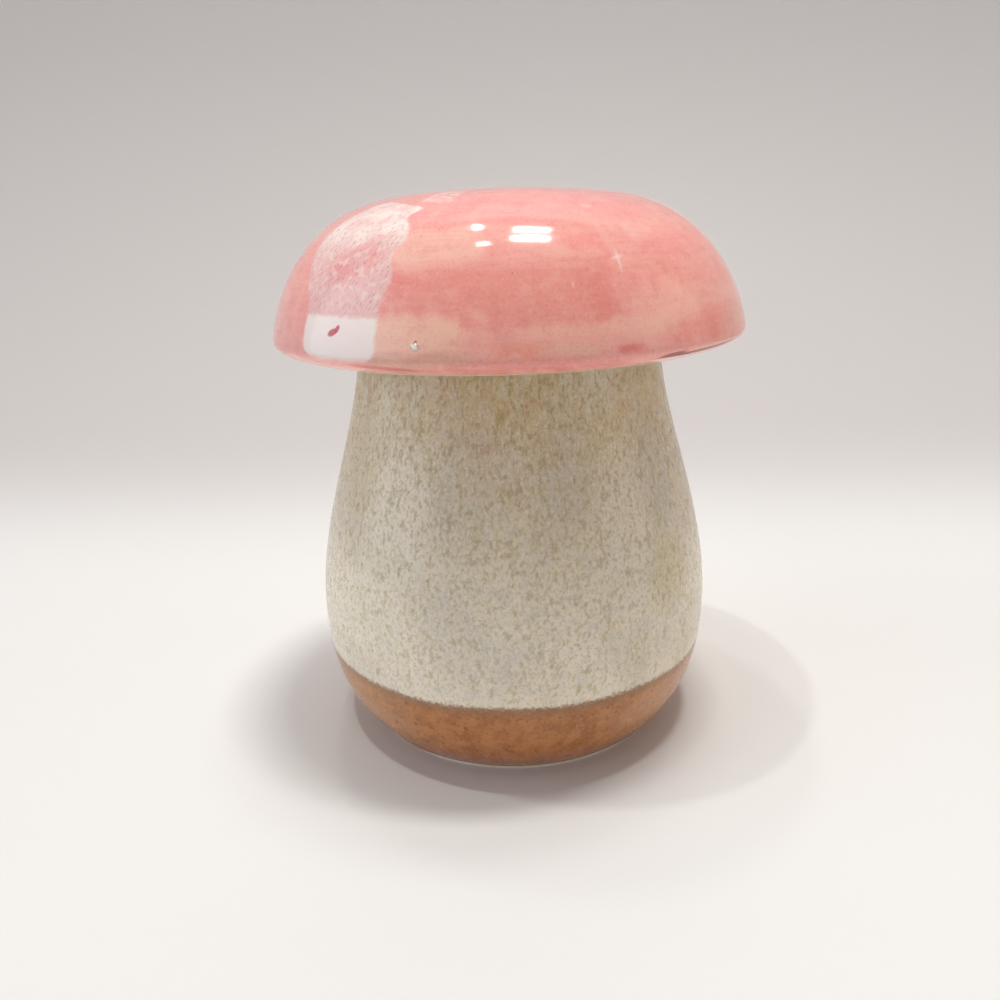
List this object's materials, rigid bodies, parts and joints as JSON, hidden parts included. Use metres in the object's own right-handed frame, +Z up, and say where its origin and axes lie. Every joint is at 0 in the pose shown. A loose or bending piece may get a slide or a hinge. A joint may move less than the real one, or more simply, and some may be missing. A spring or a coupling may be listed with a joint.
{
  "type": "ceramic mushroom ornament",
  "caption": "Pot-bellied ceramic mushroom: a hollow stem that is a small jar, and a domed cap that lifts off as its lid and is centred by a collar in the jar's mouth.",
  "frame": {"origin": "centre of the foot ring, on the plane that it rests on", "axes": "+Z up through the stem, the cap and the direction in which the cap lifts; the front faces -Y and +X is on the right seen from the front"},
  "size_m": [0.12, 0.12, 0.1403],
  "materials": {
    "stem_glaze": "satin",
    "cap_glaze": "gloss"
  },
  "bodies": {
    "stem": {"stem_jar": "stem_glaze"},
    "cap": {"cap_lid": "cap_glaze"}
  },
  "joints": [
    {"name": "cap_lift", "type": "slide", "parent": "stem", "child": "cap", "axis": [0, 0, 1], "range_m": [0, 0.08]}
  ]
}
